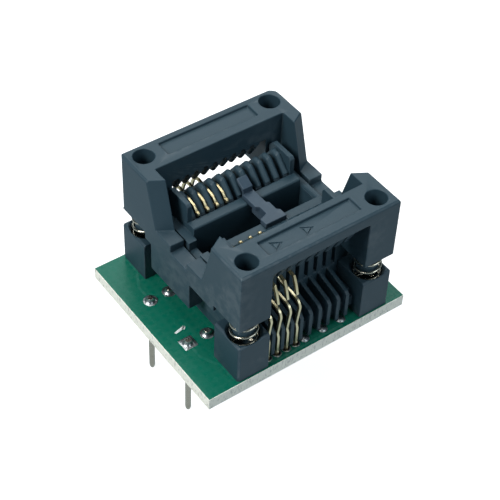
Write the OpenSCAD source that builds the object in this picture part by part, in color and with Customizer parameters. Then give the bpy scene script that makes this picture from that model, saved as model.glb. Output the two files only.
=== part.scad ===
// Test-socket adapter: an open-top socket for small-outline chips on a small circuit board
// with two rows of round pins that plug into a dual-in-line socket.
// Millimetres. The origin is the centre of the pin pattern on the board's underside, +Z is up,
// +X runs along the contact rows and +Y across them, from the front row to the rear row.
// Heights named _z are measured from the board's top face, in the socket's own frame.

/* [Circuit board] */
// Thickness of the board
board_t = 1.6; // [1:0.1:2.4]
// Distance from the board's end to the first pair of pins
pin_edge = 2.62; // [1.5:0.02:4]
// Distance from the first pair of pins to the end of the cover
pin_lead = 1.27; // [1.1:0.01:3]
// Distance from the other end of the cover to the board's end
board_end = 2.38; // [0.4:0.02:4]
// Distance from the cover's front or rear face to the board's edge
board_side = 0.3; // [0.2:0.05:3]

/* [Board pins] */
// Distance between neighbouring pins in a row
pin_pitch = 2.54; // [2:0.01:2.6]
// Distance between the two rows of pins
pin_rows = 7.62; // [6:0.01:10]
// Diameter of a pin
pin_d = 0.7; // [0.4:0.05:0.9]
// Length of a pin below the board
pin_l = 10.1; // [6:0.1:13]

/* [Contact rows] */
// Number of contact positions in a row
positions = 10; // [8:1:12]
// Distance between neighbouring contact positions
pitch = 1.27; // [1.2:0.01:1.3]
// Thickness of the contact sheet
contact_t = 0.3; // [0.2:0.01:0.34]
// Width of the contact strip as stamped
contact_w = 0.38; // [0.3:0.01:0.44]
// Width of the slot that a contact works in
slot_w = 0.5; // [0.46:0.01:0.56]
// Height of the outward bend of a contact
bend_z = 6.3; // [5.9:0.1:6.7]
// Distance from the middle of the seat to a contact tip
tip_y = 3; // [2.8:0.05:3.2]

/* [Socket base] */
// Height of the corner blocks
block_h = 5.4; // [4.8:0.1:6]
// Height of the seat rails
seat_z = 10.7; // [10.3:0.1:11.1]
// Half width of the open channel between the seat rails
channel_y = 1.6; // [1.2:0.1:2]
// Half width of the base over its inner combs
comb_y = 6.85; // [6.7:0.05:7.2]
// Height of the inner comb's knobs above the seat rails
knob_rise = 2; // [1.6:0.1:2.4]
// Height of the outer comb's fins
fin_h = 4.1; // [3.4:0.1:4.6]
// Thickness of an outer fin
fin_t = 0.5; // [0.4:0.02:0.6]
// Clearance under the base's floor
standoff = 0.8; // [0.7:0.05:1.1]
// Thickness of the base's floor
floor_t = 1.4; // [1:0.1:1.8]

/* [Cover] */
// Length of a leg along the contact rows
leg_l = 4.05; // [3.9:0.05:5]
// Width of the cover's front and rear bars
bar_w = 4.3; // [4.15:0.05:5]
// Running gap between the cover and the base
side_gap = 0.25; // [0.15:0.05:0.3]
// Depth from the cover's top face to the seat rails, cover up
well_d = 5.3; // [5:0.1:5.9]
// Downward travel of the cover
travel = 2.3; // [1.8:0.1:2.5]
// Thickness of the cover's side walls
arm_t = 1.85; // [1.6:0.05:1.95]
// Height of the plain band along the outside of a bar
band_h = 1.5; // [1:0.1:1.8]
// Depth of the dip in the side walls
dip_d = 6.1; // [5:0.1:6.4]
// Half width of the dip at its floor
dip_y = 4.1; // [3.6:0.1:4.4]
// Half width of the guide skirt on each side wall
skirt_y = 3.8; // [3.2:0.1:4.2]
// Distance from the middle of a side wall to the middle of its skirt
skirt_in = 1.7; // [0:0.1:2]
// Height of the skirt's lower edge, cover up
skirt_z = 3.2; // [3.2:0.1:4]
// Diameter of the cored holes over the legs
core_d = 2.42; // [2:0.02:2.6]
// Depth of the cored holes
core_depth = 5.2; // [4:0.1:5.4]
// Distance from the cover's end to the axis of a hole and its spring
core_inset_x = 1.96; // [1.9:0.02:2.1]
// Distance from the cover's front or rear face to the axis of a hole and its spring
core_inset_y = 1.85; // [1.8:0.02:2.1]
// Radius of the cover's rear right corner
corner_r = 1.6; // [0.8:0.1:1.7]
// Radius of the cover's rear left corner
corner_left_r = 0.6; // [0.3:0.1:1.7]
// Length of the label recess in each bar
label_l = 12; // [8:0.1:12.4]
// Width of the label recesses
label_w = 2.1; // [1.4:0.1:2.4]
// Depth of the label recesses
label_d = 0.35; // [0.2:0.05:0.6]

/* [Springs] */
// Outside diameter of a spring
spring_d = 3.2; // [3.1:0.05:3.3]
// Diameter of the spring wire
wire_d = 0.26; // [0.2:0.02:0.3]
// Number of open turns of a spring
open_turns = 4; // [3:0.5:5]
// Height of the pocket floor
pocket_z = 2.4; // [2:0.1:2.8]

/* [Package stop] */
// Distance from the middle of the rows to the middle of the stop
stop_x = 0.75; // [0.6:0.01:0.9]
// Width of the stop's stem
stop_w = 1.5; // [1.3:0.05:1.7]
// Length of the stop's head along the rows
stop_head = 2.8; // [2.4:0.1:3.2]
// Height of the stop's plate above the seat rails
stop_t = 0.5; // [0.4:0.05:0.6]

/* [Hidden] */
eps = 0.01;
pin_count = 4;
fitted = 4;
front = -1;
rear = 1;

// Plan of the socket, from its middle outwards
row_half = positions * pitch / 2;
comb_end = row_half + 0.9;
arm_in = row_half + leg_l - arm_t;
end_x = arm_in - side_gap;
cover_x = row_half + leg_l;
bar_in = comb_y + side_gap;
cover_y = bar_in + bar_w;
block_y = cover_y + 0.1;
block_in = bar_in - 0.2;
tail_y = cover_y - 0.95;
fin_y = tail_y + 0.15;
core_x = cover_x - core_inset_x;
core_y = cover_y - core_inset_y;
wall_t = pitch - slot_w;
rail_y = tip_y + 0.05;
face_y = tip_y - 0.2;

// Heights of the socket, cover up
leg_z = block_h + travel + 0.2;
wall_z = leg_z - 0.9;
top_z = seat_z + well_d;
slot_z = seat_z + travel;
band_z = top_z - band_h;
dip_z = top_z - dip_d;
knob_z = seat_z + knob_rise;
floor_z = standoff + floor_t;

// The board and its pins, from the centre of the pin pattern
pin_span = (pin_count - 1) * pin_pitch;
board_l = pin_edge + pin_lead + 2 * cover_x + board_end;
board_x = -pin_span / 2 - pin_edge;
board_w = 2 * (cover_y + board_side);
socket_x = board_x + pin_edge + pin_lead + cover_x;
pin_top = 0.5;
pin_hole_r = pin_d / 2 + 0.1;
tail_hole_r = contact_w / 2 + 0.24;
tail_end = 0.75;
spare_in = 2;

// The latch bosses on the base's ends, which stop the cover at the top of its travel
latch_z = 5;
latch_y = 2;
latch_d = 0.65;
platform_z = dip_z - 0.3;
notch_d = 0.15;

// Colours of the finishes
black_plastic = [0.13, 0.15, 0.16];
grey_plastic = [0.2, 0.23, 0.24];
board_green = [0.02, 0.36, 0.26];
gold = [0.88, 0.75, 0.42];
solder = [0.78, 0.79, 0.8];
steel = [0.7, 0.71, 0.72];

// The socket stands on the board's top face, beside the pins.
module socket_frame() {
    translate([socket_x, 0, board_t]) children();
}

// A solid of a side view drawn in Y and Z, between two places along X.
module along_x(from, to) {
    translate([from, 0, 0])
        rotate([90, 0, 90])
            linear_extrude(to - from) children();
}

// A block given by its lowest and highest corners.
module block(low, high) {
    translate(low) cube(high - low);
}

// A round ridge between two places, each given as [y, z], at a place along X.
module ridge(x, a, b, r) {
    run = norm(b - a);
    slope = atan2(b[1] - a[1], b[0] - a[0]);
    translate([x, a[0], a[1]])
        rotate([slope - 90, 0, 0])
            cylinder(h = run, r = r, $fn = 24);
}

// Place of a contact position along X, counted from the row's left end.
function spot_x(i) = -row_half + pitch * (i + 0.5);

// Place of a comb wall along X, between two positions.
function wall_x(i) = -row_half + pitch * i;

// Board pins 1 to 4 run along the front row to the right, and 5 to 8 back along the rear row.
function pin_x(n) = -pin_span / 2 + pin_pitch * (n <= pin_count ? n - 1 : 2 * pin_count - n);
function pin_y(n) = (n <= pin_count ? front : rear) * pin_rows / 2;

// Holes for the spare positions step in by turns, as the socket's own tails do.
function hole_y(i) = tail_y - (i >= fitted && i % 2 == 1 ? spare_in : 0);

module circuit_board() {
    color(board_green) difference() {
        translate([board_x, -board_w / 2, 0]) cube([board_l, board_w, board_t]);
        for (n = [1 : 2 * pin_count])
            translate([pin_x(n), pin_y(n), -1]) cylinder(h = board_t + 2, r = pin_hole_r, $fn = 32);
        for (i = [0 : positions - 1], side = [front, rear])
            translate([socket_x + spot_x(i), side * hole_y(i), -1])
                cylinder(h = board_t + 2, r = tail_hole_r, $fn = 32);
    }
}

// A straight round pin with a tapered tip and a shank that narrows a little inside the board.
module dip_pin(n) {
    r = pin_d / 2;
    top = board_t + pin_top;
    color(steel) translate([pin_x(n), pin_y(n), 0])
        rotate_extrude($fn = 32)
            polygon([[0, -pin_l], [0.4 * r, -pin_l], [0.75 * r, -pin_l + 0.15], [r, -pin_l + 0.7],
                     [r, -0.05], [r - 0.03, top - 0.1], [r - 0.12, top], [0, top]]);
}

// The solder cones round the pins on the board's top face.
module pin_solder_joints() {
    r = pin_d / 2 + 0.02;
    color(solder)
        for (n = [1 : 2 * pin_count])
            translate([pin_x(n), pin_y(n), board_t])
                rotate_extrude($fn = 32)
                    polygon([[r, 0], [r + 0.45, 0], [r + 0.35, 0.12], [r + 0.12, 0.35], [r, 0.42]]);
}

// The solder cones round the contact tails under the board.
module contact_solder_joints() {
    side_w = contact_w + 0.14;
    color(solder)
        for (i = [0 : fitted - 1], side = [front, rear])
            translate([socket_x + spot_x(i), side * tail_y, 0])
                difference() {
                    rotate([180, 0, 0])
                        cylinder(h = 0.6, r1 = tail_hole_r + 0.3, r2 = tail_hole_r - 0.02, $fn = 32);
                    translate([-contact_t / 2 - 0.04, -side_w / 2, -1])
                        cube([contact_t + 0.08, side_w, 2]);
                }
}

// Solder that fills the holes of the positions with no contact.
module spare_hole_solder() {
    r = tail_hole_r - 0.02;
    color(solder)
        for (i = [fitted : positions - 1], side = [front, rear])
            translate([socket_x + spot_x(i), side * hole_y(i), 0])
                rotate_extrude($fn = 32)
                    polygon([[0, -0.12], [r, -0.12], [r + 0.15, 0], [r, 0], [r, board_t],
                             [r + 0.15, board_t], [r, board_t + 0.12], [0, board_t + 0.2]]);
}

// One wall of the inner comb: a knob with a slope down to the seat and one down to the back.
module comb_wall(x) {
    r = wall_t / 2;
    foot = [rail_y + 0.2, seat_z];
    knee = [comb_y - 1.95, knob_z - r];
    crest = [comb_y - 1.25, knob_z - r];
    back = [comb_y - r, seat_z + 0.4];
    along_x(x - r, x + r)
        polygon([[rail_y, floor_z - eps], [rail_y, seat_z - 0.3], foot, knee, crest, back,
                 [comb_y, seat_z - 0.3], [comb_y, floor_z - eps]]);
    ridge(x, foot, knee, r);
    ridge(x, knee, crest, r);
    ridge(x, crest, back, r);
    for (p = [knee, crest]) translate([x, p[0], p[1]]) sphere(r = r, $fn = 24);
}

// The plain wall that ends a comb.
module comb_end_wall(from, to) {
    along_x(from, to)
        polygon([[rail_y - 0.15, floor_z - eps], [rail_y - 0.15, knob_z + 0.1], [rail_y + 0.1, knob_z + 0.4],
                 [comb_y - 0.6, knob_z + 0.4], [comb_y, knob_z - 0.3], [comb_y, floor_z - eps]]);
}

// One row of the base: seat rail, inner comb with its end walls, and outer comb.
module base_row() {
    post = row_half + wall_t / 2 - 0.1;
    // The body under the slots, and the seat rail
    along_x(-comb_end, comb_end)
        polygon([[channel_y, floor_z - eps], [channel_y, seat_z - 0.15], [channel_y + 0.15, seat_z],
                 [face_y, seat_z], [rail_y, seat_z - 0.25], [rail_y, 5.2], [comb_y, 5.2],
                 [comb_y, floor_z - eps]]);
    for (i = [0 : positions]) comb_wall(wall_x(i));
    comb_end_wall(post, comb_end);
    comb_end_wall(-comb_end, -post);
    // The step behind the fins, and the fins
    block([-row_half - eps, comb_y - eps, standoff], [row_half + eps, tail_y - 1.2, fin_h - 1.1]);
    for (i = [1 : positions - 1])
        along_x(wall_x(i) - fin_t / 2, wall_x(i) + fin_t / 2)
            polygon([[comb_y - eps, 0.3], [fin_y, 0.3], [fin_y, fin_h - 0.4], [fin_y - 0.4, fin_h],
                     [comb_y - eps, fin_h + 0.9]]);
}

// One corner block with the pocket that holds a spring.
module base_corner() {
    soft = 0.35;
    difference() {
        block([row_half, block_in, 0], [cover_x, block_y, block_h]);
        translate([core_x, core_y, pocket_z])
            cylinder(h = block_h, r = spring_d / 2 + 0.15, $fn = 48);
        translate([core_x, core_y, block_h - 0.3])
            cylinder(h = 0.3 + eps, r1 = spring_d / 2 + 0.15, r2 = spring_d / 2 + 0.45, $fn = 48);
        translate([cover_x, block_y, -1])
            rotate([0, 0, 45]) cube([soft, soft, 4 * block_h], center = true);
        translate([cover_x, block_y, block_h])
            rotate([0, 45, 0]) cube([soft, 4 * cover_y, soft], center = true);
        translate([cover_x, block_y, block_h])
            rotate([45, 0, 0]) cube([4 * leg_l, soft, soft], center = true);
    }
}
// The boss on the base's end that the cover's skirt catches under.
module latch_boss() {
    along = latch_y - 0.2;
    translate([0, along - skirt_in, 0]) rotate([90, 0, 0])
        linear_extrude(2 * along)
            polygon([[end_x - eps, latch_z], [end_x + latch_d, latch_z], [end_x + latch_d, latch_z + 0.35],
                     [end_x - eps, latch_z + 0.9]]);
}

// A notch across one rail, as wide as the part of the stop that lies there.
module stop_notch(side, half) {
    mirror([0, side == front ? 1 : 0, 0])
        block([stop_x - half - 0.05, channel_y - 1, seat_z - notch_d],
              [stop_x + half + 0.05, rail_y - 0.1, seat_z + 1]);
}

module socket_base() {
    color(black_plastic) socket_frame() difference() {
        union() {
            block([-end_x, -tail_y + 0.55, standoff], [end_x, tail_y - 0.55, floor_z]);
            for (m = [0, 1]) mirror([0, m, 0]) base_row();
            for (mx = [0, 1], my = [0, 1]) mirror([mx, 0, 0]) mirror([0, my, 0]) base_corner();
            // The end blocks, which close the channel between the rails
            for (turn = [0, 180]) rotate([0, 0, turn]) {
                block([comb_end - eps, -comb_y + 0.4, standoff], [end_x, comb_y - 0.4, platform_z]);
                latch_boss();
            }
        }
        // The notch through the left end block
        block([-end_x - 1, -1, platform_z - 1.2], [-comb_end + 1, 1, seat_z + 1]);
        // The notches in the rails that the package stop sits in
        stop_notch(front, stop_head / 2);
        stop_notch(rear, stop_w / 2);
        // Room round the board's solder cones
        for (n = [1 : 2 * pin_count])
            translate([pin_x(n) - socket_x, pin_y(n), -eps])
                cylinder(h = standoff - 0.1, r = pin_d / 2 + 0.7, $fn = 32);
    }
}

// The grey piece that clips across the rails and stops the package's end: a stem with a head on
// the front rail and a hooked block on the rear one.
module package_stop() {
    half = stop_w / 2;
    head = stop_head / 2;
    low = seat_z - notch_d;
    plate_z = seat_z + stop_t;
    back = rail_y - 0.15;
    color(grey_plastic) socket_frame() translate([stop_x, 0, 0]) {
        translate([0, 0, low])
            linear_extrude(plate_z - low)
                polygon([[-half, back], [half, back], [half, 0.4], [half + 0.3, 0.2], [half + 0.3, -1.1],
                         [head, -1.4], [head, -back + 0.35], [-head, -back + 0.35], [-head, -1.5],
                         [-half + 0.4, -1.1], [-half + 0.4, 0.1], [-half, 0.4]]);
        along_x(-half, half - 0.2)
            polygon([[back - 0.25, plate_z - eps], [back - 0.25, plate_z + 0.8], [back + 1, plate_z + 1.5],
                     [back + 1.15, plate_z + 1.35], [back + 1.05, plate_z + 1], [back, plate_z + 0.3],
                     [back, plate_z - eps]]);
        // The rib that drops into the channel
        block([-half + 0.4, -channel_y + 0.08, seat_z - 1.4], [half - 0.2, channel_y - 0.08, low + eps]);
    }
}

// One end of a side wall's slope, as a cutter that leaves the skewed end face.
module arm_cutter() {
    skew = atan2(1.1, arm_t);
    lean = atan2(1.7 * cos(skew), dip_d);
    translate([arm_in, dip_y + 0.9, top_z])
        rotate([0, 0, skew])
            rotate([-lean, 0, 0])
                translate([-8, -12, -dip_d * 2]) cube([16, 12, 4 * dip_d]);
}

// The two side walls of the cover, with their dips, notches and skirts.
module cover_side() {
    difference() {
        union() {
            block([arm_in, -bar_in - eps, leg_z], [cover_x, bar_in + eps, top_z]);
            block([arm_in, -block_in + side_gap, wall_z], [cover_x, block_in - side_gap, leg_z + eps]);
        }
        difference() {
            block([arm_in - 1, -bar_in + 0.5, dip_z], [cover_x + 1, bar_in - 0.5, top_z + 1]);
            for (m = [0, 1]) mirror([0, m, 0])
                difference() {
                    block([arm_in - 2, 0, dip_z - 1], [cover_x + 2, bar_in, top_z + 2]);
                    arm_cutter();
                }
        }
        block([arm_in - 1, -1.55, dip_z - 1], [cover_x + 1, 1.55, dip_z + 1]);
    }
    block([arm_in, -skirt_in - skirt_y, skirt_z], [cover_x, -skirt_in + skirt_y, wall_z + eps]);
}

// The pocket in a skirt's inner face that runs over the base's boss.
module latch_pocket() {
    block([arm_in - 1, -skirt_in - latch_y, latch_z - 0.1],
          [end_x + latch_d + 0.25, -skirt_in + latch_y, latch_z + travel + 1.05]);
}

// One bar of the cover, with its label recess apart: plain band, sloped underside and ribs.
module cover_bar() {
    r = wall_t / 2;
    out = cover_y - 1;
    low = [cover_y - 2.8, slot_z - 2.2];
    inner = [bar_in + r, slot_z - 0.65 + r];
    along_x(-row_half - eps, row_half + eps)
        polygon([[bar_in, top_z], [cover_y, top_z], [cover_y, band_z], [out, slot_z + 0.4],
                 [out - 0.6, slot_z], [bar_in, slot_z]]);
    for (i = [1 : positions - 1]) {
        along_x(wall_x(i) - r, wall_x(i) + r)
            polygon([[bar_in, slot_z + eps], [out - 0.6, slot_z + eps], [out, slot_z + 0.4],
                     [cover_y - 2.1, slot_z - 2], low, inner, [bar_in, slot_z - 0.3]]);
        ridge(wall_x(i), inner, low, r);
    }
}

// A spring's leg: the post block and, under it, the round post inside the spring.
module cover_leg() {
    post = leg_z - travel - pocket_z - 0.6;
    block([row_half, bar_in, leg_z], [cover_x, cover_y, top_z]);
    translate([core_x, core_y, leg_z - post])
        cylinder(h = post + eps, r = spring_d / 2 - wire_d - 0.1, $fn = 40);
}

// The cover's outline: square front corners and two rear corners of different radii.
module cover_outline() {
    difference() {
        translate([-cover_x, -cover_y]) square([2 * cover_x, 2 * cover_y]);
        outline_corner(corner_r);
        mirror([1, 0]) outline_corner(corner_left_r);
    }
}

// What a rounded corner leaves off the outline.
module outline_corner(r) {
    translate([cover_x - r, cover_y - r])
        difference() {
            square(r + 1);
            circle(r = r, $fn = 48);
        }
}

// The small bevel round the cover's top face.
module top_bevel() {
    c = 0.35;
    for (m = [0, 1]) {
        mirror([m, 0, 0]) translate([cover_x, 0, top_z])
            rotate([0, 45, 0]) cube([c, 4 * cover_y, c], center = true);
        mirror([0, m, 0]) translate([0, cover_y, top_z])
            rotate([45, 0, 0]) cube([4 * cover_x, c, c], center = true);
    }
}

// A shallow plain triangle cut into a recess floor.
module triangle_mark(x, y) {
    translate([x, y, top_z - label_d - 0.12])
        difference() {
            cylinder(h = 1, r = 0.85, $fn = 3);
            translate([0, 0, -1]) cylinder(h = 3, r = 0.5, $fn = 3);
        }
}

module cover() {
    color(black_plastic) socket_frame() difference() {
        intersection() {
            union() {
                for (m = [0, 1]) mirror([0, m, 0]) cover_bar();
                for (turn = [0, 180]) rotate([0, 0, turn]) cover_side();
                for (mx = [0, 1], my = [0, 1]) mirror([mx, 0, 0]) mirror([0, my, 0]) cover_leg();
            }
            linear_extrude(2 * top_z) cover_outline();
        }
        for (sx = [-1, 1], sy = [front, rear])
            translate([sx * core_x, sy * core_y, top_z - core_depth])
                cylinder(h = core_depth + 1, r = core_d / 2, $fn = 64);
        // Label recesses: the front one lies nearer the outer face
        for (y = [-bar_in - 0.85 - label_w, bar_in + 1.25])
            block([-label_l / 2, y, top_z - label_d], [label_l / 2, y + label_w, top_z + 1]);
        for (turn = [0, 180]) rotate([0, 0, turn]) latch_pocket();
        triangle_mark(-label_l / 2 + 1.6, -bar_in - 0.9 - label_w / 2);
        triangle_mark(-label_l / 2 + 5.6, -bar_in - 0.9 - label_w / 2);
        top_bevel();
    }
}

// Height of a spring's centre line after t turns: close end turns, open turns between.
function coil_z(t) =
    let (close = wire_d + 0.05,
         rise = leg_z - pocket_z - wire_d - 2 * close,
         n = open_turns)
    pocket_z + wire_d / 2
        + (t < 1 ? close * t : t < n + 1 ? close + rise * (t - 1) / n : close + rise + close * (t - n - 1));

// A compression spring swept along its coil.
module spring(sx, sy) {
    facets = 6;
    per_turn = 18;
    steps = (open_turns + 2) * per_turn;
    big = (spring_d - wire_d) / 2;
    points = [
        for (k = [0 : steps], j = [0 : facets - 1])
            let (a = 360 * k / per_turn, b = 360 * j / facets, r = big + cos(b) * wire_d / 2)
            [r * cos(a), r * sin(a), coil_z(k / per_turn) + sin(b) * wire_d / 2]
    ];
    skin = [
        for (k = [0 : steps - 1], j = [0 : facets - 1])
            let (a = k * facets + j, b = k * facets + (j + 1) % facets)
            [a, a + facets, b + facets, b]
    ];
    caps = [[for (j = [0 : facets - 1]) j], [for (j = [facets - 1 : -1 : 0]) steps * facets + j]];
    color(steel) socket_frame() translate([sx * core_x, sy * core_y, 0])
        polyhedron(points, concat(skin, caps), convexity = 10);
}

// Points of an arc in the contact's side view.
function arc(c, r, from, to, n) =
    [for (k = [0 : n]) let (a = from + (to - from) * k / n) c + r * [cos(a), sin(a)]];

// Outline of a strip of one width along a path.
function strip(path, w) =
    let (last = len(path) - 1,
         dir = [for (k = [0 : last])
             let (d = path[min(k + 1, last)] - path[max(k - 1, 0)]) d / norm(d)],
         side = [for (k = [0 : last]) [-dir[k][1], dir[k][0]] * w / 2])
    concat([for (k = [0 : last]) path[k] + side[k]], [for (k = [last : -1 : 0]) path[k] - side[k]]);

// The side view of a contact, drawn for the rear row: tail and leg, outward bend, spring arm,
// hooked tip arm over the seat, and the lever arm that the cover pushes down.
module contact_shape() {
    bend = [tail_y - 0.75, bend_z - 0.25];
    neck = [comb_y - 0.45, bend_z + 3];
    leg = concat([[tail_y, -board_t - tail_end], [tail_y, 2.7], [tail_y - 0.2, 3.2], [tail_y + 0.1, bend_z - 0.9]],
                 arc(bend, 0.95, 0, 95, 8),
                 [[tail_y - 1.55, bend_z + 0.8]],
                 arc([neck[0] + 1.1, bend_z + 1.85], 1.1, 270, 180, 6),
                 [neck]);
    tip = concat([neck, [comb_y - 0.7, seat_z - 0.4], [tip_y + 2.7, seat_z + 0.5]],
                 arc([tip_y + 1.95, seat_z + 0.4], 0.72, 50, 100, 4),
                 [[tip_y + 0.85, seat_z + 0.87], [tip_y + 0.5, seat_z + 0.45], [tip_y + 0.1, seat_z + 0.25]]);
    lever = [neck + [0, -0.1], neck + [0.8, 0.45], [tail_y - 1.9, bend_z + 3.7], [tail_y - 1.15, bend_z + 3.5],
             [tail_y - 0.75, bend_z + 2.6], [tail_y - 0.4, bend_z + 1.3]];
    polygon(strip(leg, contact_w));
    polygon(strip(tip, contact_w));
    polygon(strip(lever, contact_w));
}

module contact(i, side) {
    color(gold) socket_frame() translate([spot_x(i - 1), 0, 0])
        mirror([0, side == front ? 1 : 0, 0]) {
            along_x(-contact_t / 2, contact_t / 2) contact_shape();
            translate([-contact_t / 2, tip_y + 0.12, seat_z + 0.31])
                rotate([0, 90, 0]) cylinder(h = contact_t, r = 0.26, $fn = 32);
        }
}

circuit_board();
pin_solder_joints();
contact_solder_joints();
spare_hole_solder();
dip_pin(1);  // dip_pin_1
dip_pin(2);  // dip_pin_2
dip_pin(3);  // dip_pin_3
dip_pin(4);  // dip_pin_4
dip_pin(5);  // dip_pin_5
dip_pin(6);  // dip_pin_6
dip_pin(7);  // dip_pin_7
dip_pin(8);  // dip_pin_8
socket_base();
package_stop();
cover();
spring(-1, front);  // spring_front_left
spring(1, front);  // spring_front_right
spring(-1, rear);  // spring_rear_left
spring(1, rear);  // spring_rear_right
contact(1, front);  // contact_front_1
contact(2, front);  // contact_front_2
contact(3, front);  // contact_front_3
contact(4, front);  // contact_front_4
contact(1, rear);  // contact_rear_1
contact(2, rear);  // contact_rear_2
contact(3, rear);  // contact_rear_3
contact(4, rear);  // contact_rear_4
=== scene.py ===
"""Looks of an open-top test socket on its adapter board.

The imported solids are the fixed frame. The resin mouldings and the sheet contacts are their own
solids with broken edges, and the board, pins, solder and springs are made new over theirs.
"""

import math

import bmesh
import bpy
from mathutils import Matrix, Vector
from mathutils.kdtree import KDTree


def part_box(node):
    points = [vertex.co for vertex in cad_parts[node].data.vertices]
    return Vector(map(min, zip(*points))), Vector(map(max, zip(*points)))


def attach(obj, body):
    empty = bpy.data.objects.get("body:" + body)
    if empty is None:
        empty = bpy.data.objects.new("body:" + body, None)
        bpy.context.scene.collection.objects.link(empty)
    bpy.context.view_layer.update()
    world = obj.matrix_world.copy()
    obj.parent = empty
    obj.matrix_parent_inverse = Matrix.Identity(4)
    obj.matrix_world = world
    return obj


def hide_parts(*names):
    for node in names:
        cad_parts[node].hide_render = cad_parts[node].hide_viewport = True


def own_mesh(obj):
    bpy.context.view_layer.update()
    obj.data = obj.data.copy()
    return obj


bl_info = {
    "name": "Test socket adapter",
    "version": (1, 0, 0),
    "blender": (4, 5, 0),
    "location": "View3D > Sidebar > Adapter",
    "description": "Dresses the packed adapter: mouldings, board, pins, solder, contacts, springs and stage",
    "category": "Object",
}

MM = 0.001
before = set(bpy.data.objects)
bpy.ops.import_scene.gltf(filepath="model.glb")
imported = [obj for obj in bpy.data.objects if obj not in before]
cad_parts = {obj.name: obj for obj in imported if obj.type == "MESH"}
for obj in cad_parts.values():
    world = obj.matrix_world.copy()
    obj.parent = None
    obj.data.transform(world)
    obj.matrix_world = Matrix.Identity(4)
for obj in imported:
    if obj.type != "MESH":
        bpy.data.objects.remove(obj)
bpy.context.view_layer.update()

SPRINGS = sorted(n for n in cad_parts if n.startswith("spring_"))
PINS = sorted(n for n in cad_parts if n.startswith("dip_pin_"))
CONTACTS = sorted(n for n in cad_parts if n.startswith("contact_") and n[-1].isdigit())


def middle(node):
    """Centre of a node's box."""
    low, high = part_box(node)
    return (Vector(low) + Vector(high)) / 2


BOARD_LOW, BOARD_HIGH = (Vector(v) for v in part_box("circuit_board"))
BOARD_TOP = BOARD_HIGH.z
PIN_SPOTS = [middle(n).xy for n in PINS]
SOCKET_X = middle("cover").x
TAIL_Y = 10.45 * MM
TAIL_SPOTS = [Vector((middle(n).x, math.copysign(TAIL_Y, middle(n).y))) for n in CONTACTS]
PITCH = 1.27 * MM
POSITIONS = 10
FITTED = 4
STAGGER = 2 * MM
SPARE_SPOTS = [Vector((SOCKET_X + (k - (POSITIONS - 1) / 2) * PITCH,
                       side * (TAIL_Y if k % 2 == 0 else TAIL_Y - STAGGER)))
               for k in range(FITTED, POSITIONS) for side in (-1, 1)]


# Values a user would change


class AdapterFinish(bpy.types.PropertyGroup):
    """Colours of the finishes."""

    resin: bpy.props.FloatVectorProperty(
        name="Resin", description="Black glass-filled resin of the cover and the base",
        subtype="COLOR", size=4, min=0, max=1, default=(0.023, 0.05, 0.068, 1))
    stop_resin: bpy.props.FloatVectorProperty(
        name="Stop resin", description="Slightly greyer resin of the package stop",
        subtype="COLOR", size=4, min=0, max=1, default=(0.04, 0.066, 0.094, 1))
    mask: bpy.props.FloatVectorProperty(
        name="Solder mask", description="Green lacquer over bare laminate",
        subtype="COLOR", size=4, min=0, max=1, default=(0.0, 0.135, 0.082, 1))
    mask_copper: bpy.props.FloatVectorProperty(
        name="Mask on copper", description="Green lacquer where copper lies under it",
        subtype="COLOR", size=4, min=0, max=1, default=(0.0, 0.15, 0.095, 1))
    laminate: bpy.props.FloatVectorProperty(
        name="Laminate edge", description="Sawn glass-fibre edge of the board",
        subtype="COLOR", size=4, min=0, max=1, default=(1.0, 0.97, 0.84, 1))
    ink: bpy.props.FloatVectorProperty(
        name="Marking ink", description="White ink of the pin-one mark",
        subtype="COLOR", size=4, min=0, max=1, default=(0.95, 0.95, 0.93, 1))
    gold: bpy.props.FloatVectorProperty(
        name="Gold plate", description="Thin gold on the sheet contacts",
        subtype="COLOR", size=4, min=0, max=1, default=(0.95, 0.82, 0.53, 1))
    # Painted shade near the contact tips; the same colour also tints the random stains
    tarnish_and_shade: bpy.props.FloatVectorProperty(
        name="Gold in shade", description="Duller, greener gold near the tips",
        subtype="COLOR", size=4, min=0, max=1, default=(0.66, 0.52, 0.28, 1))
    tin: bpy.props.FloatVectorProperty(
        name="Tin", description="Tinned board pins",
        subtype="COLOR", size=4, min=0, max=1, default=(0.56, 0.49, 0.4, 1))
    solder: bpy.props.FloatVectorProperty(
        name="Solder", description="Solder joints and tinned pads",
        subtype="COLOR", size=4, min=0, max=1, default=(0.68, 0.69, 0.69, 1))
    wire: bpy.props.FloatVectorProperty(
        name="Spring wire", description="Drawn stainless wire",
        subtype="COLOR", size=4, min=0, max=1, default=(0.72, 0.65, 0.52, 1))


class AdapterSizes(bpy.types.PropertyGroup):
    """Sizes of the fine detail."""

    edge: bpy.props.FloatProperty(
        name="Moulded edge", description="Radius that breaks the mouldings' edges",
        subtype="DISTANCE", unit="LENGTH", precision=6, min=0, default=0.12 * MM)
    sheet_edge: bpy.props.FloatProperty(
        name="Sheet edge", description="Radius that breaks a contact's edges",
        subtype="DISTANCE", unit="LENGTH", precision=6, min=0, default=0.035 * MM)
    pad_height: bpy.props.FloatProperty(
        name="Pad height", description="Height of a tinned pad over the board",
        subtype="DISTANCE", unit="LENGTH", precision=6, min=0, default=0.04 * MM)
    track_width: bpy.props.FloatProperty(
        name="Track width", description="Width of a copper track",
        subtype="DISTANCE", unit="LENGTH", precision=6, min=0, default=0.32 * MM)
    track_height: bpy.props.FloatProperty(
        name="Track height", description="Height of a track under the lacquer",
        subtype="DISTANCE", unit="LENGTH", precision=6, min=0, default=0.03 * MM)
    wire: bpy.props.FloatProperty(
        name="Spring wire", description="Diameter of the spring wire",
        subtype="DISTANCE", unit="LENGTH", precision=6, min=0, default=0.26 * MM)
    open_turns: bpy.props.IntProperty(
        name="Open turns", description="Turns of a spring between its closed ends", min=2, max=8, default=4)
    squashed: bpy.props.FloatProperty(
        name="Pressed height", description="Share of a spring's height left when the cover is down",
        subtype="FACTOR", min=0.2, max=1, default=0.582)


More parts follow.
